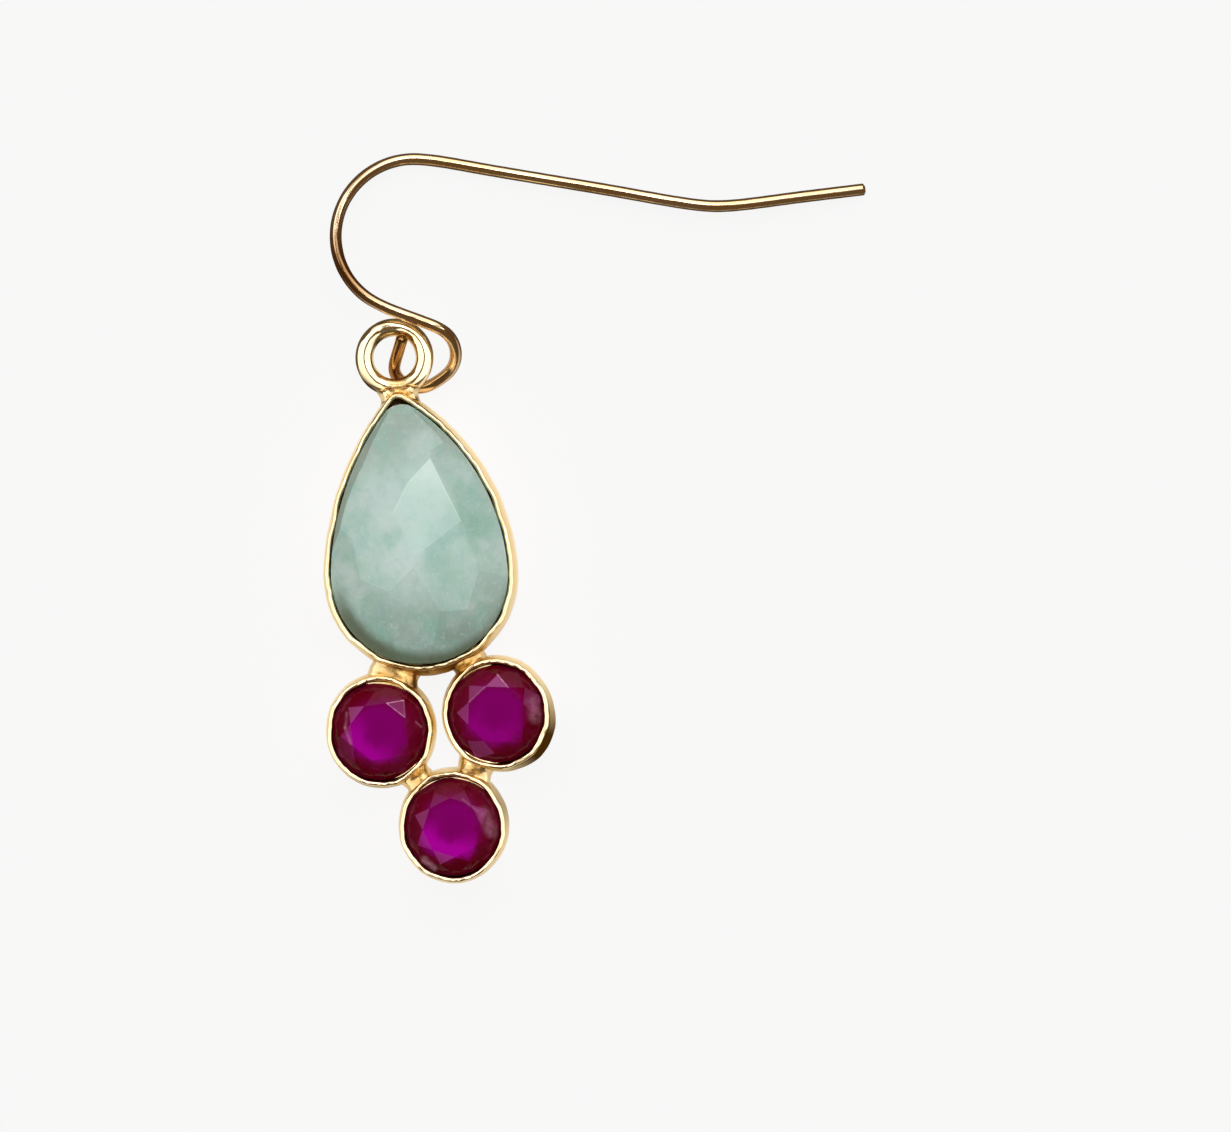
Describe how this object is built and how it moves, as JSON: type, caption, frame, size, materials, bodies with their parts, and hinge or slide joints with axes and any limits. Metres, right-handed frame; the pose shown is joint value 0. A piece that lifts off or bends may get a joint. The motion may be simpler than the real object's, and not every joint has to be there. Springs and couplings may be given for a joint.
{
  "type": "drop earring",
  "caption": "Gold drop earring lying flat: French ear wire, hanging ring, pear-shaped grey-green stone over a triangle of faceted crimson round stones in soldered cups.",
  "frame": {"origin": "on the flat back of the pear cup, on the pendant's long axis, close to where the pear is widest; the backs of all the cups lie in z = 0", "axes": "+Y along the pendant from its bottom stone to its hanging ring, +Z out of the stones' faces, +X to the right when looking at the stones"},
  "size_m": [0.0325, 0.0394, 0.0051],
  "materials": {
    "pale_gold": "bright gold plate, hand polished",
    "rose_gold": "bright drawn wire, slightly rosier gold plate",
    "grey_green_stone": "opaque clouded stone, waxy polish, flat facets",
    "crimson_stone": "deep magenta-red stone, glassy polish, flat facets"
  },
  "bodies": {
    "root": {"setting": "pale_gold", "pear_stone": "grey_green_stone", "round_stone_left": "crimson_stone", "round_stone_right": "crimson_stone", "round_stone_bottom": "crimson_stone", "ear_wire": "rose_gold"}
  },
  "joints": []
}
